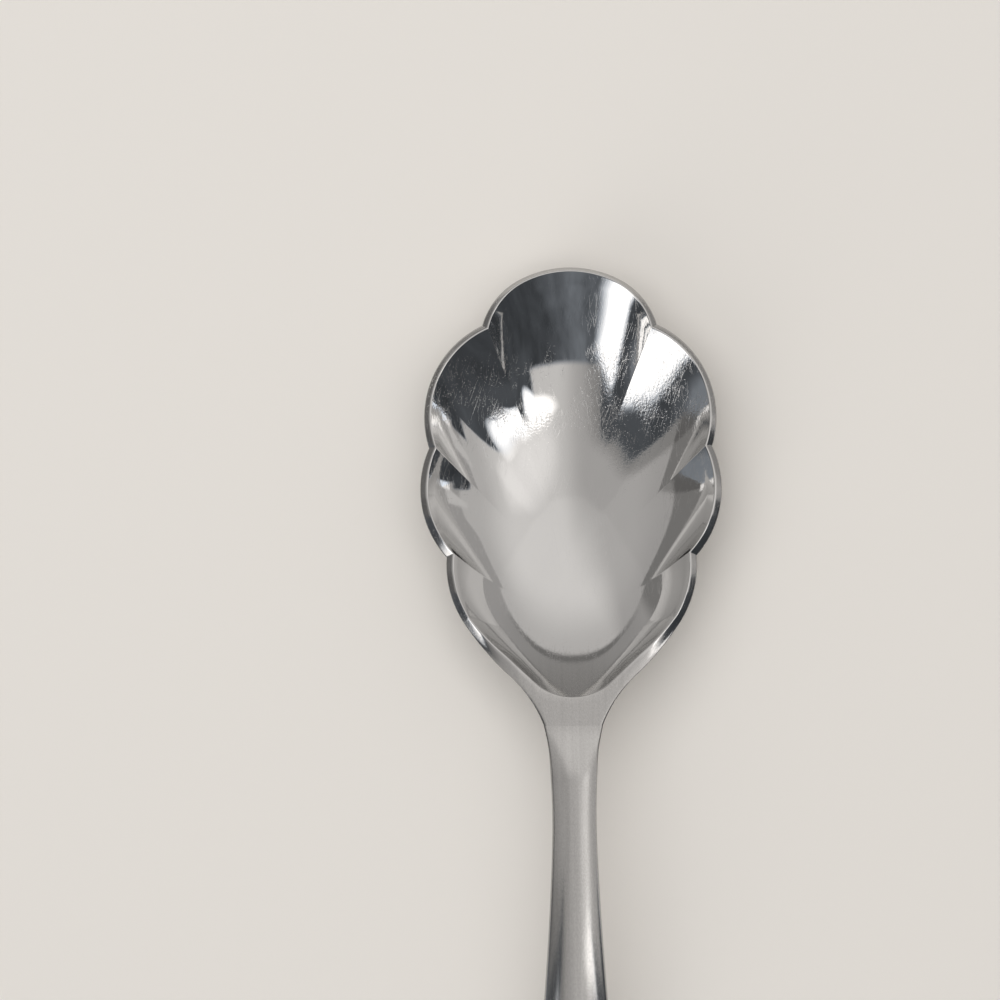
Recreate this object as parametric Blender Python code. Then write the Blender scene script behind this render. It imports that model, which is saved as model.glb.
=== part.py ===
"""Sugar shell: a scalloped sugar spoon, made as its bowl and its handle.

Metres, +Z up. The spoon lies as it does on a table, on the back of its bowl and the end of its
handle. +Y points from the handle to the tip of the bowl, and the origin is under the middle.
Places along the spoon are measured from the tip, so y = LENGTH / 2 - along.
"""

import math
from collections import namedtuple

import bmesh
import bpy
import numpy as np
from mathutils import Vector

Egg = namedtuple("Egg", "width length middle taper")
Skin = namedtuple("Skin", "edge edge_height axis_height root section plain_edge")

# Driving dimensions
LENGTH = 0.152
NECK = 0.0545  # the bowl ends here and the handle begins
NECK_HALF_WIDTH = 0.00356
NECK_GAP = 0.0003
END_ROUND = 0.140  # the handle's round end starts here

# Plan of the bowl, tip to neck: half width, place along, and rise of the arc that ends there
SQUARE = None  # an arc that meets the axis at a right angle, so its rise follows
EDGE_START = (0.0, 0.0)
EDGE_ARCS = (
    (0.00573, 0.00134, SQUARE),
    (0.01045, 0.00690, 0.00078),
    (0.01692, 0.02151, 0.00300),
    (0.01491, 0.03452, 0.00197),
    (0.01307, 0.04211, 0.00063),
    (0.00805, 0.04815, 0.00022),
    (NECK_HALF_WIDTH, NECK, -0.00050),
)
LIP_START = (0.0, 0.0005)
LIP_ARCS = (
    (0.00532, 0.00172, SQUARE),
    (0.00972, 0.00730, 0.00081),
    (0.01600, 0.02148, 0.00310),
    (0.01395, 0.03408, 0.00200),
    (0.01228, 0.04164, 0.00066),
    (0.00800, 0.04614, 0.00018),
    (0.00420, 0.04968, 0.0),
    (0.0, 0.05118, SQUARE),
)
ARC_COLUMNS = (6, 6, 12, 10, 6, 5, 6)
NECK_COLUMNS = 6

# Plan of the handle: place along and half width
HANDLE_WIDTHS = (
    (NECK, NECK_HALF_WIDTH),
    (0.0569, 0.00306),
    (0.0595, 0.00285),
    (0.0643, 0.00267),
    (0.0703, 0.00279),
    (0.0798, 0.00333),
    (0.0845, 0.00368),
    (0.1000, 0.00490),
    (0.1200, 0.00640),
    (0.1340, 0.00725),
    (LENGTH, 0.00780),
)
HANDLE_COLUMNS = 30
END_COLUMNS = 10

# Side view: place along and height, for the rim and for the underside on the axis
RIM_HEIGHTS = (
    (0.0, 0.0077),
    (0.026, 0.0091),
    (0.051, 0.0108),
    (0.064, 0.0121),
    (0.072, 0.0126),
    (0.080, 0.0126),
    (0.088, 0.0121),
    (0.098, 0.0108),
    (0.110, 0.0084),
    (0.122, 0.0055),
    (0.134, 0.0030),
    (0.145, 0.0015),
    (LENGTH, 0.0010),
)
EDGE_DROP = 0.0006  # the rim slopes down outwards by this much, up to where it runs into the neck
DROP_FADES = (0.041, 0.0505)
KEEL_HEIGHTS = (
    (0.0, 0.0071),
    (0.003, 0.0050),
    (0.006, 0.0032),
    (0.014, 0.0005),
    (0.025, -0.00012),
    (0.036, 0.0013),
    (0.046, 0.0047),
    (0.0569, 0.0089),
    (0.064, 0.0101),
    (0.072, 0.0109),
    (0.080, 0.0111),
    (0.088, 0.0107),
    (0.098, 0.0095),
    (0.110, 0.0071),
    (0.122, 0.0042),
    (0.134, 0.0016),
    (0.145, 0.0001),
    (LENGTH, -0.0008),
)
HOLLOW_DEPTH = 0.0080
HOLLOW_EGG = Egg(width=0.0162, length=0.0253, middle=0.02588, taper=0.06)
CROWN_HEIGHTS = (  # place along and rise of the handle's top above its edges
    (NECK, 0.00080),
    (0.064, 0.00080),
    (0.075, 0.00092),
    (0.086, 0.00115),
    (0.100, 0.00115),
    (0.120, 0.00090),
    (LENGTH, 0.00060),
)
CROWN_FULL = 0.0605

# How the flutes run into the bowl
FLUTE_START = 0.42  # share of the way from the axis to the edge
UNDERSIDE_EGG = Egg(width=0.0173, length=0.0258, middle=0.0260, taper=0.0)
EGG_FADES = (0.036, 0.047)  # the underside leaves the egg here and follows the neck
TIP_ROOT = 0.030  # where the line to the tip leaves the axis
HOLLOW_ROOT_STEP = 0.38
LEAN_END = 0.054
LEAN_POWER = 1.3
END_LEAN = 0.75

# Cross sections
WALL_QUARTIC = 0.45  # share of the fourth power in the bowl's section
TIP_QUARTIC = 0.25  # the same share in the lines that run to the tip
TIP_FADES = (0.006, 0.016)
SIDE_REACH = 0.0007  # how far in from its edge the handle's underside rolls up
END_POWER = 6
SIDE_STARTS = (0.040, 0.060)
CROWN_POWERS = (5.0, 2.6)  # the crown is flat in its middle at the neck and rounder further on
CROWN_FADES = (NECK, 0.0615)
HOLLOW_SHARES = (0.0, 0.14, 0.28, 0.42, 0.54, 0.65, 0.75, 0.84, 0.92)
UNDERSIDE_SHARES = (0.96, 0.92, 0.86, 0.78, 0.68, 0.58, 0.47, 0.34, 0.18, 0.0)
TOP_SHARES = (0.0, 0.2, 0.38, 0.54, 0.68, 0.8, 0.9)

# Rounded corners
LIP_ROUND = 0.0002
LIP_SHARE = 0.3  # a corner takes up to this share of the rim's width
RIM_ROUND = 0.0002
RIM_SHARE = 0.4
HANDLE_ROUND = 0.0004
ROUND_FADES = (0.044, NECK)
LEG_SHARE = 0.9  # a corner takes up to this share of the row beside it
ROUND_STEPS = (0.0, 0.25, 0.5, 0.75, 1.0)
WELD = 0.000001
FLAT_WELD = 0.00003

# Finish
POLISHED_COLOUR = (0.70, 0.69, 0.68)
POLISHED_ROUGHNESS = 0.08
SATIN_COLOUR = (0.62, 0.61, 0.60)
SATIN_ROUGHNESS = 0.28
SHARP_ANGLE = math.radians(35.0)


def step(value, start, end):
    """0 before start, 1 after end, and a smooth climb between."""
    t = min(1.0, max(0.0, (value - start) / (end - start)))
    return t * t * (3.0 - 2.0 * t)


def mix(a, b, share):
    return a + (b - a) * share


def smooth_line(points):
    """A natural cubic spline through (place, value) points, as a function of place."""
    places, values = np.array(points).T
    gaps = np.diff(places)
    count = len(places)
    system = np.eye(count)
    sums = np.zeros(count)
    for i in range(1, count - 1):
        system[i, i - 1 : i + 2] = gaps[i - 1], 2.0 * (gaps[i - 1] + gaps[i]), gaps[i]
        slopes = np.diff(values[i - 1 : i + 2]) / gaps[i - 1 : i + 1]
        sums[i] = 6.0 * (slopes[1] - slopes[0])
    bends = np.linalg.solve(system, sums)

    def at(place):
        i = int(np.clip(np.searchsorted(places, place) - 1, 0, count - 2))
        gap = gaps[i]
        after, before = place - places[i], places[i + 1] - place
        curve = (bends[i] * before**3 + bends[i + 1] * after**3) / (6.0 * gap)
        start = (values[i] / gap - bends[i] * gap / 6.0) * before
        end = (values[i + 1] / gap - bends[i + 1] * gap / 6.0) * after
        return float(curve + start + end)

    return at


rim_height = smooth_line(RIM_HEIGHTS)
keel_spline = smooth_line(KEEL_HEIGHTS)
handle_spline = smooth_line(HANDLE_WIDTHS)
crown_spline = smooth_line(CROWN_HEIGHTS)


def end_share(along):
    """0 along the handle, rising to 1 over its round end."""
    return max(0.0, (along - END_ROUND) / (LENGTH - END_ROUND))


def bowl_section(share, along):
    """Climb across the bowl, from 0 on the axis to 1 at the edge."""
    quartic = mix(TIP_QUARTIC, WALL_QUARTIC, step(along, *TIP_FADES))
    return mix(share**2, share**4, quartic)


def underside_section(share, along):
    power = 2.0 + handle_spline(max(along, NECK)) / SIDE_REACH
    return mix(bowl_section(share, along), share**power, step(along, *SIDE_STARTS))


def crown_section(share, along):
    return share ** mix(*CROWN_POWERS, step(along, *CROWN_FADES))


def floor_height(along):
    reach = (along - HOLLOW_EGG.middle) / HOLLOW_EGG.length
    return rim_height(along) - HOLLOW_DEPTH * (1.0 - mix(reach**2, reach**4, WALL_QUARTIC))


def outer_height(along):
    """Height of the outer edge of the rim, and of the handle's edge."""
    return rim_height(along) - EDGE_DROP * (1.0 - step(along, *DROP_FADES))


def keel_height(along):
    depth = (rim_height(along) - keel_spline(along)) * (1.0 - end_share(along) ** END_POWER)
    return rim_height(along) - depth


def crest_height(along):
    rise = step(along, NECK, CROWN_FULL) * (1.0 - end_share(along) ** 2)
    return rim_height(along) + crown_spline(along) * rise


def hollow_root(along):
    """Place on the axis where the line to a point of the lip starts."""
    return TIP_ROOT + HOLLOW_ROOT_STEP * along


def underside_root(along):
    lean = TIP_ROOT * max(0.0, 1.0 - along / LEAN_END) ** LEAN_POWER
    return along + lean - END_LEAN * max(0.0, along - END_ROUND)


def on_egg(half_width, along, egg):
    """The point of the egg on the same ray from its middle. Its narrower end is towards the neck."""
    reach = (along - egg.middle) / egg.length
    lean = max(0.0, reach) / math.hypot(half_width / egg.width, reach)
    width = egg.width * (1.0 - egg.taper * lean**2)
    ratio = math.hypot(half_width / width, reach)
    return half_width / ratio, egg.middle + (along - egg.middle) / ratio


def hollow_plain_edge(half_width, along):
    """The lip without its scallops."""
    return on_egg(half_width, along, HOLLOW_EGG)


def underside_plain_edge(half_width, along):
    width, place = on_egg(half_width, along, UNDERSIDE_EGG)
    hold = step(along, *EGG_FADES)
    return mix(width, half_width, hold), mix(place, along, hold)


def handle_plain_edge(half_width, along):
    return half_width, along


def arc(start, end, rise, count):
    """Points after start, up to end, on an arc that rises outwards from its chord."""
    start, end = Vector(start), Vector(end)
    chord = end - start
    half = chord.length / 2.0
    if rise is SQUARE:
        rise = half * math.tan(math.atan2(chord.y, abs(chord.x)) / 2.0)
    if rise == 0.0:
        return [tuple(start.lerp(end, i / count)) for i in range(1, count + 1)]
    sweep = 4.0 * math.atan(rise / half)
    radius = half / math.sin(sweep / 2.0)
    onward = chord.normalized()
    out = Vector((onward.y, -onward.x))
    centre = start.lerp(end, 0.5) - out * radius * math.cos(sweep / 2.0)
    points = []
    for i in range(1, count + 1):
        turn = sweep * (i / count - 0.5)
        points.append(tuple(centre + radius * (out * math.cos(turn) + onward * math.sin(turn))))
    return points


def outline(start, arcs, columns):
    points = [start]
    for (half_width, along, rise), count in zip(arcs, columns):
        points += arc(points[-1], (half_width, along), rise, count)
    return points


def handle_outline():
    places = [mix(NECK + NECK_GAP, END_ROUND, i / HANDLE_COLUMNS) for i in range(HANDLE_COLUMNS)]
    turns = [math.pi / 2.0 * i / END_COLUMNS for i in range(END_COLUMNS + 1)]
    places += [mix(END_ROUND, LENGTH, math.sin(turn)) for turn in turns]
    ends = [math.sqrt(max(0.0, 1.0 - end_share(along) ** 2)) for along in places]
    return [(handle_spline(along) * end, along) for along, end in zip(places, ends)]


def skin_row(skin, share):
    """Points at one share of the way from the axis to the edge, with the flutes fading inwards."""
    t = max(0.0, (share - FLUTE_START) / (1.0 - FLUTE_START))
    flute = t * t * (2.0 - t)
    row = []
    for half_width, along in skin.edge:
        plain_width, plain_along = skin.plain_edge(half_width, along)
        edge_width = mix(plain_width, half_width, flute)
        edge_along = mix(plain_along, along, flute)
        place = mix(skin.root(along), edge_along, share)
        climbs = [skin.edge_height(a) - skin.axis_height(a) for a in (plain_along, along)]
        height = skin.axis_height(place) + mix(*climbs, flute) * skin.section(share, along)
        row.append(Vector((share * edge_width, LENGTH / 2.0 - place, height)))
    return row


def edge_row(skin):
    return [Vector((width, LENGTH / 2.0 - along, skin.edge_height(along))) for width, along in skin.edge]


def root_row(skin):
    return [Vector((0.0, LENGTH / 2.0 - skin.root(along), rim_height(along))) for _, along in skin.edge]


def rounded(before, corners, after, reaches):
    """Rows that round a corner off between the rows on its two sides."""
    rows = [[] for _ in ROUND_STEPS]
    for b, corner, a, reach in zip(before, corners, after, reaches):
        legs = b - corner, a - corner
        reach = min(reach, LEG_SHARE * min(leg.length for leg in legs))
        start, end = [corner + leg.normalized() * reach for leg in legs]
        for row, t in zip(rows, ROUND_STEPS):
            row.append(start.lerp(corner, t).lerp(corner.lerp(end, t), t))
    return rows


def underside_rows(skin, top_row, reaches):
    """The rounded outer edge, and the underside from the edge to the axis."""
    rows = [skin_row(skin, share) for share in UNDERSIDE_SHARES]
    return rounded(top_row, edge_row(skin), rows[0], reaches) + rows


def distances(row, other):
    return [(b - a).length for a, b in zip(row, other)]


def add_grid(mesh, rows):
    """Faces between neighbouring rows of points."""
    made = [[mesh.verts.new(point) for point in row] for row in rows]
    for upper, lower in zip(made, made[1:]):
        for i in range(len(upper) - 1):
            mesh.faces.new((upper[i], lower[i], lower[i + 1], upper[i + 1]))


def close_holes(mesh):
    bmesh.ops.holes_fill(mesh, edges=[edge for edge in mesh.edges if edge.is_boundary])
    bmesh.ops.recalc_face_normals(mesh, faces=mesh.faces[:])


def close_body(mesh):
    """Makes the other half, closes the neck, and grinds a flat level with the table."""
    half = mesh.verts[:] + mesh.edges[:] + mesh.faces[:]
    bmesh.ops.mirror(mesh, geom=half, merge_dist=WELD, axis="X")
    bmesh.ops.remove_doubles(mesh, verts=mesh.verts[:], dist=WELD)
    close_holes(mesh)
    body = mesh.verts[:] + mesh.edges[:] + mesh.faces[:]
    bmesh.ops.bisect_plane(
        mesh, geom=body, dist=WELD, plane_co=(0, 0, 0), plane_no=(0, 0, -1), clear_outer=True
    )
    for vert in mesh.verts:
        if abs(vert.co.z) < WELD:
            vert.co.z = 0.0
    close_holes(mesh)
    bmesh.ops.remove_doubles(mesh, verts=mesh.verts[:], dist=FLAT_WELD)


def build_bowl():
    lip = outline(LIP_START, LIP_ARCS, (*ARC_COLUMNS, NECK_COLUMNS))
    hollow = Skin(lip, rim_height, floor_height, hollow_root, bowl_section, hollow_plain_edge)
    edge = outline(EDGE_START, EDGE_ARCS, ARC_COLUMNS)
    underside = Skin(
        edge, outer_height, keel_height, underside_root, underside_section, underside_plain_edge
    )
    lip_corners = edge_row(hollow)
    rim_widths = distances(lip_corners, edge_row(underside))
    limits = [mix(RIM_ROUND, HANDLE_ROUND, step(along, *ROUND_FADES)) for _, along in edge]
    rounds = [min(limit, RIM_SHARE * width) for limit, width in zip(limits, rim_widths)]
    inner = [
        corner.lerp(middle, step(along, *DROP_FADES))
        for corner, middle, (_, along) in zip(lip_corners, root_row(underside), edge)
    ]
    below = underside_rows(underside, inner, rounds)
    neck_end = below[0][-1]
    neck_middle = Vector((0.0, *neck_end.yz))
    neck_row = [neck_end.lerp(neck_middle, i / NECK_COLUMNS) for i in range(1, NECK_COLUMNS + 1)]
    rim_widths += distances(lip_corners[len(edge) :], neck_row)
    lip_rounds = [min(LIP_ROUND, LIP_SHARE * width) for width in rim_widths]
    inside = [skin_row(hollow, share) for share in HOLLOW_SHARES]
    inside += rounded(inside[-1], lip_corners, below[0] + neck_row, lip_rounds)
    mesh = bmesh.new()
    add_grid(mesh, inside + [below[0] + neck_row])
    add_grid(mesh, below)
    close_body(mesh)
    return mesh


def build_handle():
    edge = handle_outline()
    top = Skin(edge, rim_height, crest_height, underside_root, crown_section, handle_plain_edge)
    underside = Skin(
        edge, rim_height, keel_height, underside_root, underside_section, handle_plain_edge
    )
    above = [skin_row(top, share) for share in TOP_SHARES]
    mesh = bmesh.new()
    add_grid(mesh, above + underside_rows(underside, above[-1], [HANDLE_ROUND] * len(edge)))
    close_body(mesh)
    return mesh


def steel(name, colour, roughness):
    material = bpy.data.materials.new(name)
    material.use_nodes = True
    shader = material.node_tree.nodes["Principled BSDF"]
    shader.inputs["Base Color"].default_value = (*colour, 1.0)
    shader.inputs["Metallic"].default_value = 1.0
    shader.inputs["Roughness"].default_value = roughness
    return material


def add_piece(name, mesh, material, parent):
    data = bpy.data.meshes.new(name)
    mesh.to_mesh(data)
    mesh.free()
    data.materials.append(material)
    data.shade_smooth()
    data.set_sharp_from_angle(angle=SHARP_ANGLE)
    piece = bpy.data.objects.new(name, data)
    piece.parent = parent
    bpy.context.scene.collection.objects.link(piece)


def main():
    for old in list(bpy.data.objects):
        bpy.data.objects.remove(old)
    spoon = bpy.data.objects.new("sugar_shell", None)
    bpy.context.scene.collection.objects.link(spoon)
    polished = steel("polished_steel", POLISHED_COLOUR, POLISHED_ROUGHNESS)
    satin = steel("satin_steel", SATIN_COLOUR, SATIN_ROUGHNESS)
    add_piece("bowl", build_bowl(), polished, spoon)
    add_piece("handle", build_handle(), satin, spoon)


main()
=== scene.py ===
import math
from collections import namedtuple

import bmesh
import bpy
import numpy as np
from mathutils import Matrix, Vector


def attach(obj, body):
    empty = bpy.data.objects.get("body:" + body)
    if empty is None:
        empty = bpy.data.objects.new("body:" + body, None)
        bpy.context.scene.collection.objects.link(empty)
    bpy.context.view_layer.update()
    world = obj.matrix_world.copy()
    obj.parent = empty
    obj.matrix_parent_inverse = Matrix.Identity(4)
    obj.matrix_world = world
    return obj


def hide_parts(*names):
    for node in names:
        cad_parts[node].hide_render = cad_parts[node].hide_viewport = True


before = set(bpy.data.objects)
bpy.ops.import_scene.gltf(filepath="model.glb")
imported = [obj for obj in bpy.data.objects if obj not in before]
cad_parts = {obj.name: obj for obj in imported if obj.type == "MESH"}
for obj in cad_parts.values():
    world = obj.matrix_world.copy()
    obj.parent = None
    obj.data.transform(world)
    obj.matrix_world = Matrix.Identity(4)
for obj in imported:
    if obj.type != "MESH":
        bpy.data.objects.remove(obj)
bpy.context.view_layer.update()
print("frame loaded:", sorted(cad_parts))

# The whole spoon, in metres. Places along it are measured from the tip of the bowl.
spoon = {
    "length": 0.152,
    "neck": 0.0545,  # the bowl ends here and the handle begins
    "rim": (
        (0.0, 0.0077), (0.026, 0.0091), (0.051, 0.0108), (0.064, 0.0121), (0.072, 0.0126), (0.080, 0.0126),
        (0.088, 0.0121), (0.098, 0.0108), (0.110, 0.0084), (0.122, 0.0055), (0.134, 0.0030), (0.145, 0.0015),
        (0.152, 0.0010),
    ),
    "keel": (
        (0.0, 0.0071), (0.003, 0.0050), (0.006, 0.0032), (0.014, 0.0005), (0.025, -0.00012), (0.036, 0.0013),
        (0.046, 0.0047), (0.0569, 0.0089), (0.064, 0.0101), (0.072, 0.0109), (0.080, 0.0111), (0.088, 0.0107),
        (0.098, 0.0095), (0.110, 0.0071), (0.122, 0.0042), (0.134, 0.0016), (0.145, 0.0001), (0.152, -0.0008),
    ),
    "edgeRound": 0.0004,  # at the neck and along the handle
    "legShare": 0.9,  # a rounded corner takes up to this share of the row beside it
    "skinEnd": 0.955,  # the rows of a skin stop at this share of the way to a rounded edge
    "wornAndShadeSteps": (0.0, 0.5),  # share of the rounded edge where the worn look, with its painted shade, begins and is full
    "wornAndShadeUnderRows": 4,
    "cuspPull": 0.8,  # how much the points of an outline gather at its cusps
    "weld": 0.000001,
    "sharpAngle": 50,
}


def mix(a, b, share):
    return a + (b - a) * share


def climbStep(value, start, end):
    t = np.clip((value - start) / (end - start), 0, 1)
    return t * t * (3 - 2 * t)


# a natural cubic spline through (place, value) points
def smoothLine(points):
    places, values = np.array(points).T
    gaps = np.diff(places)
    bends = np.zeros(len(places))
    system = np.diag(2 * (gaps[:-1] + gaps[1:])) + np.diag(gaps[1:-1], 1) + np.diag(gaps[1:-1], -1)
    bends[1:-1] = np.linalg.solve(system, 6 * np.diff(np.diff(values) / gaps))

    def at(place):
        i = np.clip(np.searchsorted(places, place) - 1, 0, len(gaps) - 1)
        gap, after, before = gaps[i], place - places[i], places[i + 1] - place
        curve = (bends[i] * before**3 + bends[i + 1] * after**3) / (6 * gap)
        start = (values[i] / gap - bends[i] * gap / 6) * before
        return curve + start + (values[i + 1] / gap - bends[i + 1] * gap / 6) * after

    return at


rimHeight = smoothLine(spoon["rim"])
keelLine = smoothLine(spoon["keel"])


# points after start, up to end, on an arc that rises outwards from its chord
def arcPoints(start, end, rise, count):
    start, end = np.array(start), np.array(end)
    chord = end - start
    half = np.hypot(*chord) / 2
    t = np.arange(1, count + 1)[:, None] / count
    t = mix(t, 0.5 - 0.5 * np.cos(math.pi * t), spoon["cuspPull"])
    if rise == "square":  # meets the axis at a right angle
        rise = half * math.tan(math.atan2(chord[1], abs(chord[0])) / 2)
    if rise == 0:
        return start + chord * t
    sweep = 4 * math.atan(rise / half)
    radius = half / math.sin(sweep / 2)
    onward = chord / (2 * half)
    out = np.array((onward[1], -onward[0]))
    centre = start + chord / 2 - out * radius * math.cos(sweep / 2)
    turn = sweep * (t - 0.5)
    return centre + radius * (out * np.cos(turn) + onward * np.sin(turn))


def outlinePoints(start, arcs, columns):
    runs = [np.array([start])]
    for (halfWidth, along, rise), count in zip(arcs, columns):
        runs.append(arcPoints(runs[-1][-1], (halfWidth, along), rise, count))
    return np.concatenate(runs)


def onSpoon(halfWidth, along, height):
    return np.stack(np.broadcast_arrays(halfWidth, spoon["length"] / 2 - along, height), -1)


# rows of points from the axis, share 0, to an edge line, share 1, with the flutes fading inwards
def skinRows(edge, shares, edgeHeight, axisHeight, root, section, plainEdge, fluteStart):
    share = np.array(shares)[:, None]
    width, along = edge.T[:, None, :]
    plainWidth, plainAlong = plainEdge(width, along)
    t = np.clip((share - fluteStart) / (1 - fluteStart), 0, 1)
    flute = t * t * (2 - t)
    place = mix(root(along), mix(plainAlong, along, flute), share)
    plainClimb = edgeHeight(plainAlong) - axisHeight(plainAlong)
    climb = mix(plainClimb, edgeHeight(along) - axisHeight(along), flute)
    height = axisHeight(place) + climb * section(share, along)
    return onSpoon(share * mix(plainWidth, width, flute), place, height)


def edgeRow(edge, edgeHeight):
    return onSpoon(edge[:, 0], edge[:, 1], edgeHeight(edge[:, 1]))


# rows that round a corner off between the rows on its two sides
def roundedRows(before, corner, after, reach, count):
    legs = [side - corner for side in (before, after)]
    lengths = [np.linalg.norm(leg, axis=-1, keepdims=True) for leg in legs]
    reach = np.minimum(np.reshape(reach, (-1, 1)), spoon["legShare"] * np.minimum(*lengths))
    start, end = [corner + leg / length * reach for leg, length in zip(legs, lengths)]
    t = np.linspace(0, 1, count)[:, None, None]
    return (1 - t) ** 2 * start + 2 * t * (1 - t) * corner + t**2 * end


# faces between neighbouring rows of points; each point keeps its polish and how much of a worn edge with
# painted shade it is
def addRows(mesh, rows, polish, wornAndShade):
    polishLayer, wornLayer = [mesh.verts.layers.float.get(name) for name in ("polish", "wornAndShade")]
    above = None
    for row, shines, amounts in zip(rows, polish, wornAndShade):
        made = [mesh.verts.new(point) for point in row]
        for vert, shine, amount in zip(made, shines, amounts):
            vert[polishLayer] = shine
            vert[wornLayer] = amount
        if above:
            for i in range(len(made) - 1):
                mesh.faces.new((above[i], made[i], made[i + 1], above[i + 1]))
        above = made


def newMesh():
    mesh = bmesh.new()
    for name in ("polish", "wornAndShade"):
        mesh.verts.layers.float.new(name)
    return mesh


# how worn the rows of a rounded edge and of the underside are, and how much painted shade darkens them: most
# on the edge's steep side
def wornAndShadeRows(edgeRows, under, first):
    edge = mix(first, 1, climbStep(np.linspace(0, 1, len(edgeRows))[:, None], *spoon["wornAndShadeSteps"]))
    below = climbStep(np.arange(len(under))[:, None], spoon["wornAndShadeUnderRows"], 0)
    parts = ((edge, edgeRows), (below, under))
    return np.concatenate([np.broadcast_to(wornAndShade, rows.shape[:2]) for wornAndShade, rows in parts])


# the other half, the closed neck, and the flat that the table has worn
def closeBody(mesh, name, material):
    half = mesh.verts[:] + mesh.edges[:] + mesh.faces[:]
    bmesh.ops.mirror(mesh, geom=half, merge_dist=spoon["weld"], axis="X")
    bmesh.ops.remove_doubles(mesh, verts=mesh.verts[:], dist=spoon["weld"])
    bmesh.ops.holes_fill(mesh, edges=[edge for edge in mesh.edges if edge.is_boundary])
    bmesh.ops.recalc_face_normals(mesh, faces=mesh.faces[:])
    for vert in mesh.verts:
        vert.co.z = max(vert.co.z, 0)
    data = bpy.data.meshes.new(name)
    mesh.to_mesh(data)
    mesh.free()
    data.materials.append(material)
    data.shade_smooth()
    data.set_sharp_from_angle(angle=math.radians(spoon["sharpAngle"]))
    piece = bpy.data.objects.new(name, data)
    bpy.context.scene.collection.objects.link(piece)
    print(name, len(data.vertices), "points")
    return piece


# A shader socket that can stand in sums. Each sum adds its own node.
class Wire:
    def __init__(self, tree, socket=None):
        self.tree = tree
        self.socket = socket

    # any node: its type, its settings, and the values or links of its sockets
    def node(self, kind, settings=None, sockets=None, out=0):
        made = self.tree.nodes.new("ShaderNode" + kind)
        for name, value in (settings or {}).items():
            setattr(made, name, value)
        for name, value in (sockets or {}).items():
            if isinstance(value, Wire):
                self.tree.links.new(value.socket, made.inputs[name])
            else:
                made.inputs[name].default_value = value
        return Wire(self.tree, made.outputs[out] if made.outputs else None)

    def calc(self, operation, a, b=0.0):
        return self.node("Math", {"operation": operation}, {0: a, 1: b})

    def __add__(self, other):
        return self.calc("ADD", self, other)

    def __sub__(self, other):
        return self.calc("SUBTRACT", self, other)

    def __rsub__(self, other):
        return self.calc("SUBTRACT", other, self)

    def __mul__(self, other):
        return self.calc("MULTIPLY", self, other)

    def __truediv__(self, other):
        return self.calc("DIVIDE", self, other)

    def __rtruediv__(self, other):
        return self.calc("DIVIDE", other, self)

    def __neg__(self):
        return self * -1

    def __abs__(self):
        return self.calc("ABSOLUTE", self)

    __radd__ = __add__
    __rmul__ = __mul__

    def most(self, other):
        return self.calc("MAXIMUM", self, other)

    # 0 up to low and 1 from high, with a soft climb between; low may be the larger one
    def climb(self, low, high):
        sockets = {"Value": self, "From Min": low, "From Max": high}
        return self.node("MapRange", {"interpolation_type": "SMOOTHSTEP"}, sockets)

    # climbs from 0 to 1 over the first two values, and back over the last two
    def hill(self, start, full, fade, end):
        return self.climb(start, full) * self.climb(end, fade)

    # a number that goes from one to the other with this value
    def between(self, first, second):
        return first + (second - first) * self

    # a colour that goes from one to the other with this value
    def tint(self, first, second):
        return self.node("Mix", {"data_type": "RGBA"}, {0: self, 6: first, 7: second}, 2)

    # a colour or a direction, made longer or shorter
    def scaled(self, amount):
        return self.node("VectorMath", {"operation": "SCALE"}, {0: self, "Scale": amount})

    # soft random spots; size gives the spots' width, length and height, turn their lean on the table
    def spots(self, size, turn=0, detail=2.0, roughness=0.5):
        lean = (0, 0, math.radians(turn))
        sockets = {"Vector": self, "Rotation": lean, "Scale": size}
        place = self.node("Mapping", {"vector_type": "TEXTURE"}, sockets)
        sockets = {"Vector": place, "Scale": 1.0, "Detail": detail, "Roughness": roughness}
        return self.node("TexNoise", None, sockets, "Fac")


def newMaterial(name):
    material = bpy.data.materials.new(name)
    material.use_nodes = True
    material.node_tree.nodes.clear()
    return material, Wire(material.node_tree)


steel = {
    "mirrorColour": (0.72, 0.718, 0.712, 1),
    "mirrorRoughness": 0.03,
    "satinColour": (0.58, 0.575, 0.565, 1),
    "satinRoughness": 0.15,
    # a dark colour on the worn edges and the underside: partly a rough worn edge, partly painted shade on the
    # steep outer edge and underside
    "wornAndShadeColour": (0.11, 0.107, 0.104, 1),
    "wornRoughness": 0.32,
    "scuffs": (0.0545, 0.0585, 0.064, 0.070),  # along y; the bowl is most scuffed between the middle two
    "scuffElsewhere": 0.22,  # the share of the scuffs and scratches that is left further off
    "patchSize": (0.004, 0.005, 0.004),  # scuffed and cleaner patches
    "patchLean": 20,
    "patchEdge": (0.38, 0.56),
    "patchRoughness": 0.04,
    "scratchRuns": (  # width, length and lean in degrees
        (0.00008, 0.0032, -12), (0.00008, 0.0026, 2), (0.00009, 0.0050, -20), (0.00007, 0.0020, 16),
    ),
    "scratchEdge": (0.73, 0.79),
    "scratchElsewhere": 0.15,
    "scratchRoughness": 0.19,
    "scratchDepth": 0.000004,
    "speckSize": (0.00022, 0.00022, 0.00022),
    "speckEdge": (0.66, 0.74),
    "speckDepth": 0.000009,
    "grainSize": (0.00024, 0.00030, 0.00024),
    "grainLean": 4,
    "grainDepth": 0.000009,
    "satinSize": (0.00018, 0.00026, 0.00018),
    "satinShade": 0.22,
    "satinDepth": 0.0000045,
    "streakSize": (0.0005, 0.025, 1),
    "streakShade": 0.20,
    "brushSize": (0.00012, 0.012, 1),
    "brushRoughness": 0.08,
    "smudgeSize": (0.006, 0.010, 0.006),
    "smudgeLean": -25,
    "smudgeShade": 0.08,
    "smudgeSatin": 0.04,  # how much it changes the roughness
    "smudgeMirror": 0.02,
}


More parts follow.
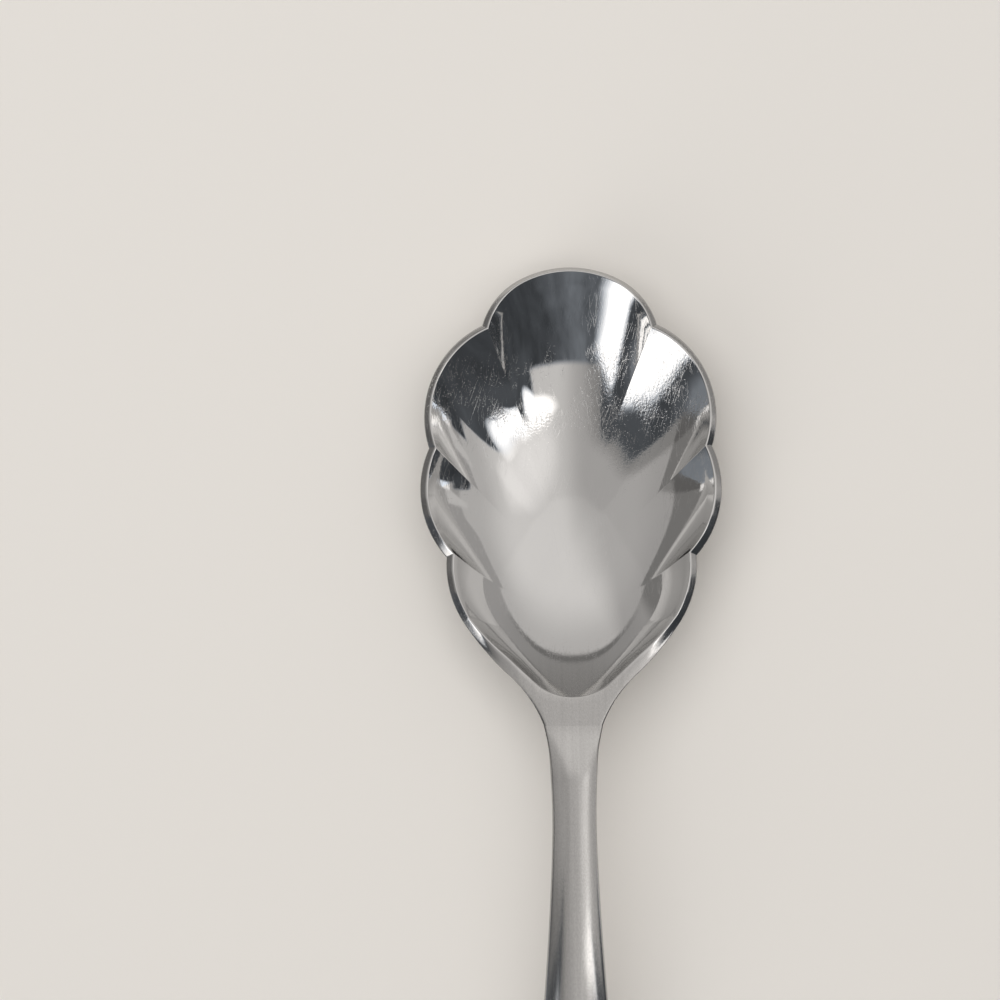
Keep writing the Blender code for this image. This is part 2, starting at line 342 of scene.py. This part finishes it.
# one steel for the whole spoon, from mirror to satin as the points' polish says
def steelMaterial(name):
    material, start = newMaterial(name)
    polish = start.node("Attribute", {"attribute_name": "polish"}, None, "Fac")
    wornAndShade = start.node("Attribute", {"attribute_name": "wornAndShade"}, None, "Fac")
    place = start.node("TexCoord", None, None, "Object")
    y = start.node("SeparateXYZ", None, {0: place}, "Y")
    patches = place.spots(steel["patchSize"], steel["patchLean"]).climb(*steel["patchEdge"])
    wear = patches * y.hill(*steel["scuffs"]).between(steel["scuffElsewhere"], 1)
    scratches = None
    for width, length, lean in steel["scratchRuns"]:
        line = place.spots((width, length, 1), lean, detail=0.0).climb(*steel["scratchEdge"])
        scratches = line if scratches is None else scratches.most(line)
    scratches = scratches * wear.between(steel["scratchElsewhere"], 1)
    specks = place.spots(steel["speckSize"], detail=1.0).climb(*steel["speckEdge"]) * wear.most(wornAndShade)
    grain = place.spots(steel["grainSize"], steel["grainLean"], detail=1.0)
    satinGrain = place.spots(steel["satinSize"])
    brushed = place.spots(steel["brushSize"], detail=3.0, roughness=0.6) - 0.5
    smudge = place.spots(steel["smudgeSize"], steel["smudgeLean"], detail=3.0) - 0.5
    streaks = place.spots(steel["streakSize"], detail=1.0) - 0.5
    satinShade = (satinGrain - 0.5) * steel["satinShade"] + streaks * steel["streakShade"]
    shade = 1 + smudge * steel["smudgeShade"] + satinShade * (1 - polish)
    colour = polish.tint(steel["satinColour"], steel["mirrorColour"]).scaled(shade)
    # painted shade: the worn edges and the underside turn dark, broken by the bright specks
    tarnishAndShade = wornAndShade * (1 - specks)
    colour = tarnishAndShade.tint(colour, steel["wornAndShadeColour"])
    mirror = steel["mirrorRoughness"] + wear * steel["patchRoughness"] + smudge * steel["smudgeMirror"]
    satin = steel["satinRoughness"] + brushed * steel["brushRoughness"] + smudge * steel["smudgeSatin"]
    smooth = wornAndShade.between(polish.between(satin, mirror), steel["wornRoughness"])
    roughness = scratches.between(smooth, steel["scratchRoughness"])
    height = wear * grain * steel["grainDepth"] * polish - scratches * steel["scratchDepth"]
    height = height - specks * steel["speckDepth"] + satinGrain * steel["satinDepth"] * (1 - polish)
    normal = start.node("Bump", None, {"Strength": 1.0, "Distance": 1.0, "Height": height})
    sockets = {"Base Color": colour, "Metallic": 1.0, "Roughness": roughness, "Normal": normal}
    shader = start.node("BsdfPrincipled", None, sockets)
    start.node("OutputMaterial", None, {"Surface": shader})
    return material


# The bowl. Each arc has the half width and the place along where it ends, and its rise, tip to neck.
bowl = {
    "edgeStart": (0.0, 0.0),
    "edgeArcs": (
        (0.00573, 0.00134, "square"), (0.01045, 0.00690, 0.00078), (0.01692, 0.02151, 0.00300),
        (0.01491, 0.03452, 0.00197), (0.01307, 0.04211, 0.00063), (0.00805, 0.04815, 0.00022),
        (0.00356, 0.0545, -0.00050),
    ),
    "lipStart": (0.0, 0.0005),
    "lipArcs": (
        (0.00532, 0.00172, "square"), (0.00972, 0.00730, 0.00081), (0.01600, 0.02148, 0.00310),
        (0.01395, 0.03408, 0.00200), (0.01228, 0.04164, 0.00066), (0.00800, 0.04614, 0.00018),
        (0.00420, 0.04968, 0), (0.0, 0.05118, "square"),
    ),
    "columns": (24, 24, 48, 40, 24, 20, 24),
    "neckColumns": 24,
    "hollowRows": 48,
    "bandRows": 5,
    "roundRows": 7,
    "undersideRows": 40,
    "lipRound": 0.0002,
    "lipShare": 0.3,  # of the rim's width
    "edgeRound": 0.0002,
    "edgeShare": 0.4,
    "roundFades": (0.044, 0.0545),
    "edgeDrop": 0.0006,  # the rim slopes down outwards by this much, up to where it runs into the neck
    "dropFades": (0.041, 0.0505),
    # how worn the rim band is, with painted shade in the same share
    "rimWornAndShade": 0.35,
    "depth": 0.0080,
    "hollowEgg": (0.0162, 0.0253, 0.02588, 0.06),  # half width, half length, middle and taper to the neck
    "undersideEgg": (0.0173, 0.0258, 0.0260, 0),
    "eggFades": (0.036, 0.047),
    "fluteStart": 0.42,
    "tipRoot": 0.030,  # where the line to the tip leaves the axis
    "rootStep": 0.38,
    "leanEnd": 0.054,
    "leanPower": 1.3,
    "wallQuartic": 0.45,  # share of the fourth power in the section
    "tipQuartic": 0.25,  # the same share in the lines that run to the tip
    "tipFades": (0.006, 0.016),
    "polishFades": (0.0450, 0.0500),
    "sideReach": 0.0007,
    "sideStarts": (0.040, 0.060),
}

# The handle. Its widths are the place along and the half width there.
handle = {
    "widths": (
        (0.0545, 0.00356), (0.0569, 0.00306), (0.0595, 0.00285), (0.0643, 0.00267), (0.0703, 0.00279),
        (0.0798, 0.00333), (0.0845, 0.00368), (0.1000, 0.00490), (0.1200, 0.00640), (0.1340, 0.00725),
        (0.152, 0.00780),
    ),
    "roundEnd": 0.140,
    "columns": 160,
    "endColumns": 48,
    "topRows": 28,
    "topEnd": 0.9,  # the rows of the top stop at this share of the way to the edge
    "undersideRows": 36,
    "roundRows": 7,
    "crown": (  # place along and rise of the top above its edges
        (0.0545, 0.00080), (0.064, 0.00080), (0.075, 0.00092), (0.086, 0.00115), (0.100, 0.00115),
        (0.120, 0.00090), (0.152, 0.00060),
    ),
    "crownFull": 0.0605,
    "crownPowers": (5, 2.6),  # flat in its middle at the neck and rounder further on
    "crownFades": (0.0545, 0.0615),
    "wornAndShade": 0.5,  # its edge is less worn, with less painted shade, than the rim of the bowl
    "wornAndShadeFades": (0.0545, 0.0640),
    "endLean": 0.75,
    "endPower": 6,
}
handleWidth = smoothLine(handle["widths"])
crownLine = smoothLine(handle["crown"])


def endShare(along):
    return np.maximum(0, (along - handle["roundEnd"]) / (spoon["length"] - handle["roundEnd"]))


def bowlSection(share, along):
    quartic = mix(bowl["tipQuartic"], bowl["wallQuartic"], climbStep(along, *bowl["tipFades"]))
    return mix(share**2, share**4, quartic)


def undersideSection(share, along):
    power = 2 + handleWidth(np.maximum(along, spoon["neck"])) / bowl["sideReach"]
    return mix(bowlSection(share, along), share**power, climbStep(along, *bowl["sideStarts"]))


def crownSection(share, along):
    return share ** mix(*handle["crownPowers"], climbStep(along, *handle["crownFades"]))


def floorHeight(along):
    length, middle = bowl["hollowEgg"][1:3]
    reach = (along - middle) / length
    return rimHeight(along) - bowl["depth"] * (1 - mix(reach**2, reach**4, bowl["wallQuartic"]))


def outerHeight(along):
    return rimHeight(along) - bowl["edgeDrop"] * (1 - climbStep(along, *bowl["dropFades"]))


def keelHeight(along):
    rim = rimHeight(along)
    return rim - (rim - keelLine(along)) * (1 - endShare(along) ** handle["endPower"])


def crestHeight(along):
    rise = climbStep(along, spoon["neck"], handle["crownFull"]) * (1 - endShare(along) ** 2)
    return rimHeight(along) + crownLine(along) * rise


def hollowRoot(along):
    return bowl["tipRoot"] + bowl["rootStep"] * along


def undersideRoot(along):
    lean = bowl["tipRoot"] * np.maximum(0, 1 - along / bowl["leanEnd"]) ** bowl["leanPower"]
    return along + lean - handle["endLean"] * np.maximum(0, along - handle["roundEnd"])


# the point of an egg on the same ray from its middle
def onEgg(halfWidth, along, egg):
    width, length, middle, taper = egg
    reach = (along - middle) / length
    lean = np.maximum(0, reach) / np.hypot(halfWidth / width, reach)
    ratio = np.hypot(halfWidth / (width * (1 - taper * lean**2)), reach)
    return halfWidth / ratio, middle + (along - middle) / ratio


def hollowPlainEdge(halfWidth, along):
    return onEgg(halfWidth, along, bowl["hollowEgg"])


def undersidePlainEdge(halfWidth, along):
    width, place = onEgg(halfWidth, along, bowl["undersideEgg"])
    hold = climbStep(along, *bowl["eggFades"])
    return mix(width, halfWidth, hold), mix(place, along, hold)


def handlePlainEdge(halfWidth, along):
    return halfWidth, along


# 1 on the bowl, where the steel is a mirror, and 0 past the neck, where it is satin
def polishAt(points):
    return 1 - climbStep(spoon["length"] / 2 - points[..., 1], *bowl["polishFades"])


def buildBowl(material):
    lip = outlinePoints(bowl["lipStart"], bowl["lipArcs"], (*bowl["columns"], bowl["neckColumns"]))
    edge = outlinePoints(bowl["edgeStart"], bowl["edgeArcs"], bowl["columns"])
    corners = edgeRow(edge, outerHeight)
    inside = skinRows(
        lip, np.linspace(0, spoon["skinEnd"], bowl["hollowRows"]), rimHeight, floorHeight, hollowRoot,
        bowlSection, hollowPlainEdge, bowl["fluteStart"],
    )
    under = skinRows(
        edge, np.linspace(spoon["skinEnd"], 0, bowl["undersideRows"]), outerHeight, keelHeight, undersideRoot,
        undersideSection, undersidePlainEdge, bowl["fluteStart"],
    )
    lipCorners = edgeRow(lip, rimHeight)
    facing = lipCorners[: len(corners)]  # the lip's points across the rim from the edge's
    rimWidth = np.linalg.norm(corners - facing, axis=-1)
    fade = climbStep(edge[:, 1], *bowl["roundFades"])
    edgeReach = np.minimum(bowl["edgeShare"] * rimWidth, mix(bowl["edgeRound"], spoon["edgeRound"], fade))
    axisRow = onSpoon(0, undersideRoot(edge[:, 1]), rimHeight(edge[:, 1]))
    inner = mix(facing, axisRow, climbStep(edge[:, 1:], *bowl["dropFades"]))
    edgeRows = roundedRows(inner, corners, under[0], edgeReach, bowl["roundRows"])
    neckShares = np.arange(1, bowl["neckColumns"] + 1)[:, None] / bowl["neckColumns"]
    neckCorner = edgeRows[0][-1]
    neckRow = mix(neckCorner, neckCorner * (0, 1, 1), neckShares)  # across the neck to the axis
    bandEnd = np.concatenate([edgeRows[0], neckRow])
    bandWidth = np.linalg.norm(bandEnd - lipCorners, axis=-1)
    lipReach = np.minimum(bowl["lipRound"], bowl["lipShare"] * np.append(rimWidth, bandWidth[len(corners) :]))
    lipRows = roundedRows(inside[-1], lipCorners, bandEnd, lipReach, bowl["roundRows"])
    bandShares = np.linspace(0, 1, bowl["bandRows"])[1:-1, None, None]
    band = np.concatenate([mix(lipRows[-1], bandEnd, bandShares), bandEnd[None]])
    mesh = newMesh()
    hollow = np.concatenate([inside, lipRows])
    # the rim band and the outer edge are worn and darkened with painted shade
    wornAndShade = np.concatenate([np.zeros(hollow.shape[:2]), bowl["rimWornAndShade"] * polishAt(band)])
    innerRows = np.concatenate([hollow, band])
    addRows(mesh, innerRows, polishAt(innerRows), wornAndShade)
    outerRows = np.concatenate([edgeRows, under])
    first = bowl["rimWornAndShade"] * polishAt(edgeRows[0])
    addRows(mesh, outerRows, polishAt(outerRows), wornAndShadeRows(edgeRows, under, first))
    return closeBody(mesh, "scalloped_bowl", material)


def buildHandle(material):
    straight = np.linspace(spoon["neck"], handle["roundEnd"], handle["columns"], endpoint=False)
    turns = np.linspace(0, math.pi / 2, handle["endColumns"])
    places = np.concatenate([straight, mix(handle["roundEnd"], spoon["length"], np.sin(turns))])
    ends = np.sqrt(np.maximum(0, 1 - endShare(places) ** 2))
    edge = np.stack([handleWidth(places) * ends, places], -1)
    top = skinRows(
        edge, np.linspace(0, handle["topEnd"], handle["topRows"]), rimHeight, crestHeight, undersideRoot,
        crownSection, handlePlainEdge, bowl["fluteStart"],
    )
    under = skinRows(
        edge, np.linspace(spoon["skinEnd"], 0, handle["undersideRows"]), rimHeight, keelHeight, undersideRoot,
        undersideSection, handlePlainEdge, bowl["fluteStart"],
    )
    corners = edgeRow(edge, rimHeight)
    edgeRows = roundedRows(top[-1], corners, under[0], spoon["edgeRound"], handle["roundRows"])
    rows = np.concatenate([top, edgeRows, under])
    mesh = newMesh()
    # the handle's edge is worn and darkened with painted shade, less than the bowl's rim
    fade = mix(1, handle["wornAndShade"], climbStep(places, *handle["wornAndShadeFades"]))
    wornAndShade = np.concatenate([np.zeros(top.shape[:2]), fade * wornAndShadeRows(edgeRows, under, 0)])
    addRows(mesh, rows, np.zeros(rows.shape[:2]), wornAndShade)
    return closeBody(mesh, "shank_and_handle", material)


steelFinish = steelMaterial("polished_steel")
bowlPiece = buildBowl(steelFinish)
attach(bowlPiece, "root")
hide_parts("bowl")
handlePiece = buildHandle(steelFinish)
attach(handlePiece, "root")
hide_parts("handle")
print("spoon built")

table = {"side": 40.0, "colour": (0.82, 0.790, 0.745, 1), "roughness": 0.6}


def buildTable():
    material, start = newMaterial("table")
    sockets = {"Base Color": table["colour"], "Roughness": table["roughness"]}
    shader = start.node("BsdfPrincipled", None, sockets)
    start.node("OutputMaterial", None, {"Surface": shader})
    mesh = bmesh.new()
    bmesh.ops.create_grid(mesh, x_segments=1, y_segments=1, size=table["side"] / 2)
    data = bpy.data.meshes.new("table")
    mesh.to_mesh(data)
    mesh.free()
    data.materials.append(material)
    piece = bpy.data.objects.new("table", data)
    bpy.context.scene.collection.objects.link(piece)
    print("table laid")


buildTable()

# The room round the spoon, by direction: rise is in degrees from straight up, turn in degrees from
# the handle's side to the right, and across and near are places on a ceiling one unit above the spoon.
Way = namedtuple("Way", "rise turn across near")

ceiling = {
    "left": 0.50,
    "right": 0.77,
    "blend": (-0.24, 0.26),  # where it changes across
    "farStart": -0.15,  # further off the change slants to the left
    "farSlant": 0.6,
    "fall": (32, 61),
    "fallLeft": 0.14,
    "fallRight": 0.29,
    "panelSlope": 1.65,  # a faint panel above the handle's side
    "panelSides": (0.51, 0.48),
    "panelEnd": (-0.17, -0.14),
    "panelShade": 0.07,
    "farTurns": (119, 125),  # and another far from it
    "farEnd": (-0.1, -0.2),
    "farGain": 0.06,
}


def ceilingLevel(way):
    far = (ceiling["farStart"] - way.near).most(0)
    right = (way.across + far * ceiling["farSlant"]).climb(*ceiling["blend"])
    fall = right.between(ceiling["fallLeft"], ceiling["fallRight"]) * way.rise.climb(*ceiling["fall"])
    sides = abs(way.across) - way.near * ceiling["panelSlope"]
    panel = sides.climb(*ceiling["panelSides"]) * way.near.climb(*ceiling["panelEnd"])
    farPanel = abs(way.turn).climb(*ceiling["farTurns"]) * way.near.climb(*ceiling["farEnd"])
    panels = 1 - panel * ceiling["panelShade"] + farPanel * ceiling["farGain"]
    return right.between(ceiling["left"], ceiling["right"]) * (1 - fall) * panels


walls = {
    "sides": 0.39,
    "far": 0.33,
    "farTurns": (120, 150),
    "shade": 0.17,  # the left wall is darker
    "shadeTurns": (-132, -122, -84, -70),
    "top": (63, 66),
    "drop": 8,  # the ceiling comes down lower on the right
    "dropTurns": (60, 70, 98, 108),
    "cornice": (64.2, 65.8, 67.7, 69.3),
    "corniceTurns": (125, 165),
    "corniceLevel": 0.19,
    "skirting": (82, 88),
    "skirtingShade": 0.07,
}


def roomLevel(way):
    away = abs(way.turn)
    far = away.climb(*walls["farTurns"])
    level = far.between(walls["sides"], walls["far"])
    level = level - way.turn.hill(*walls["shadeTurns"]) * walls["shade"]
    level = level - far * way.rise.climb(*walls["skirting"]) * walls["skirtingShade"]
    top = way.rise - way.turn.hill(*walls["dropTurns"]) * walls["drop"]
    level = top.climb(*walls["top"]).between(ceilingLevel(way), level)
    cornice = way.rise.hill(*walls["cornice"]) * away.climb(*walls["corniceTurns"])
    return cornice.between(level, walls["corniceLevel"])


darkSide = {
    "slope": 0.2035,  # its two edges run out from straight above the spoon
    "soft": (-0.015, 0.015),
    "bendStart": 0.75,  # near the middle they bend away
    "bend": 0.15,
    "leftEnd": (-0.405, -0.485),
    "leftSlant": 0.3,
    "rightEnd": (0.56, 0.64),
    "rightSlant": 0.75,
    "rightSlantStart": 0.2,
    "middle": (0.46, 0.54),
    "nookTurns": (60, 70, 86, 88),
    "nookRises": (64, 67, 76, 78),
    "level": 0.06,
    "midGain": 0.09,
    "midTurns": (-60, -25, 0, 35),
    "nearGain": 0.02,
    "nearEnd": (0.95, 0.5),
    "patches": (0.16, 0.45, 0.30),  # uneven, as a furnished room is
    "patchTurn": 15,
    "patchLevels": (0.2, 1.8),
    "glowGain": 0.18,  # beside the tall lamp
    "glowTurns": (-62, -76),
    "glowRises": (64, 74),
    "haze": 0.36,
    "hazeAcross": (-0.18, -0.45),
    "hazeNear": (-0.02, 0.08),
}


# 1 in the directions of the dark side, 0 in the others
def darkShare(way):
    wide = abs(way.across)
    bend = (darkSide["bendStart"] - wide).most(0) * darkSide["bend"]
    edge = (way.near - wide * darkSide["slope"] + bend).climb(*darkSide["soft"])
    left = (way.across + way.near * darkSide["leftSlant"]).climb(*darkSide["leftEnd"])
    slant = (way.near - darkSide["rightSlantStart"]).most(0) * darkSide["rightSlant"]
    right = (way.across - slant).climb(*darkSide["rightEnd"])
    nook = way.turn.hill(*darkSide["nookTurns"]) * way.rise.hill(*darkSide["nookRises"])
    return (edge * left.most(right)).most(nook).most(way.near.climb(*darkSide["middle"]))


# how bright the dark side itself is
def darkLevel(way, toward):
    level = darkSide["level"] + way.turn.hill(*darkSide["midTurns"]) * darkSide["midGain"]
    level = level + way.near.climb(*darkSide["nearEnd"]) * darkSide["nearGain"]
    level = level * toward.spots(darkSide["patches"], darkSide["patchTurn"]).between(*darkSide["patchLevels"])
    glow = way.turn.climb(*darkSide["glowTurns"]) * way.rise.climb(*darkSide["glowRises"])
    return level + glow * darkSide["glowGain"]


lamps = {
    "tallLean": (-66, -57, -42, -26),  # a tall lamp on the left, which leans
    "tallRises": (34, 44, 84, 92),
    "tallSlant": 0.4,
    "tallUpright": 50,  # the rise that it leans about
    "tallLevel": 2.0,
    "softPlace": (0.55, -0.02),  # a soft gleam on the right of the ceiling
    "softSize": (0.42, 0.20),
    "softEdge": (1, 0),
    "softLevel": 0.26,
    "brightPlace": (0.63, 0.185),  # a bright bent lamp on the right
    "brightSize": (0.36, 0.082),
    "brightSlope": 0.42,
    "brightEdge": (1.7, 0.3),
    "brightLevel": 1.9,
    "paneCorner": (87, 83),  # a pane low on the right: turn and rise of its low corner
    "paneSlant": 0.4,
    "paneStart": (-1, 1),
    "paneEnd": (96, 94),
    "paneRises": (66, 69, 83, 85),
    "paneLevel": 0.62,
    "glints": (  # turns, rises and level
        ((84.0, 85.5, 87.5, 89.0), (79, 81, 86, 89), 1.1),
        ((-92.5, -90.5, -89.0, -87.0), (84, 86, 90, 92), 1.0),
    ),
}


# the level with the lamps in it, and how cool the light of each direction is
def lampLevel(way, level, dark):
    lean = way.turn - (way.rise - lamps["tallUpright"]) * lamps["tallSlant"]
    tall = lean.hill(*lamps["tallLean"]) * way.rise.hill(*lamps["tallRises"])
    level = tall.between(level, lamps["tallLevel"])
    across, near = [(a - b) / size for a, b, size in zip(way[2:], lamps["softPlace"], lamps["softSize"])]
    soft = (across * across + near * near).climb(*lamps["softEdge"])
    level = level + soft * (1 - dark) * lamps["softLevel"]
    across, near = [a - b for a, b in zip(way[2:], lamps["brightPlace"])]
    near = (near - across.most(0) * lamps["brightSlope"]) / lamps["brightSize"][1]
    across = across / lamps["brightSize"][0]
    bright = (across * across + near * near).climb(*lamps["brightEdge"])
    level = bright.between(level, lamps["brightLevel"])
    turn, rise = lamps["paneCorner"]
    start = way.turn - turn - (rise - way.rise) * lamps["paneSlant"]
    pane = start.climb(*lamps["paneStart"]) * way.turn.climb(*lamps["paneEnd"])
    level = (pane * way.rise.hill(*lamps["paneRises"])).between(level, lamps["paneLevel"])
    for turns, rises, gleam in lamps["glints"]:
        level = (way.turn.hill(*turns) * way.rise.hill(*rises)).between(level, gleam)
    return level, dark * (1 - tall.most(bright))


studio = {
    "paleColour": (1.0, 0.967, 0.94, 1),
    "darkColour": (0.93, 1.0, 1.10, 1),
    "lowest": 0.08,  # keeps places on the ceiling finite near the horizon
}


def buildWorld():
    world = bpy.data.worlds.new("studio")
    bpy.context.scene.world = world
    world.use_nodes = True
    world.node_tree.nodes.clear()
    start = Wire(world.node_tree)
    toward = start.node("TexCoord", None, None, "Generated")
    x, y, z = [start.node("SeparateXYZ", None, {0: toward}, axis) for axis in "XYZ"]
    rise = z.calc("ARCCOSINE", z) * math.degrees(1)
    turn = x.calc("ARCTAN2", x, -y) * math.degrees(1)
    up = z.most(studio["lowest"])
    way = Way(rise, turn, x / up, -y / up)
    dark = darkShare(way)
    haze = way.across.climb(*darkSide["hazeAcross"]) * way.near.climb(*darkSide["hazeNear"])
    pale = roomLevel(way) * (1 - haze * darkSide["haze"])
    level = dark.between(pale, darkLevel(way, toward))
    level, cool = lampLevel(way, level, dark)
    colour = cool.tint(studio["paleColour"], studio["darkColour"]).scaled(level)
    shader = start.node("Background", None, {"Color": colour, "Strength": 1.0})
    start.node("OutputWorld", None, {"Surface": shader})
    print("room lit")


buildWorld()

key = {"place": (-0.16, 0.22, 0.80), "size": 0.9, "power": 3.8, "aim": (0.0, 0.05, 0.0)}


# a soft lamp on the left, which the steel does not mirror
def buildKey():
    data = bpy.data.lights.new("key", "AREA")
    data.size = key["size"]
    data.energy = key["power"]
    lamp = bpy.data.objects.new("key", data)
    lamp.location = key["place"]
    lamp.rotation_euler = (Vector(key["aim"]) - lamp.location).to_track_quat("-Z", "Y").to_euler()
    lamp.visible_glossy = False
    lamp.visible_camera = False
    bpy.context.scene.collection.objects.link(lamp)


buildKey()

view = {"place": (-0.00846, 0.04824, 0.389), "lens": 115.15, "sensor": 36, "roll": -0.48, "nearest": 0.01}


def buildCamera():
    data = bpy.data.cameras.new("camera")
    data.lens = view["lens"]
    data.sensor_width = view["sensor"]
    data.clip_start = view["nearest"]
    camera = bpy.data.objects.new("camera", data)
    camera.location = view["place"]
    camera.rotation_euler = (0, 0, math.radians(view["roll"]))
    bpy.context.scene.collection.objects.link(camera)
    bpy.context.scene.camera = camera
    print("camera placed")


buildCamera()
bpy.context.scene.view_settings.view_transform = "Standard"
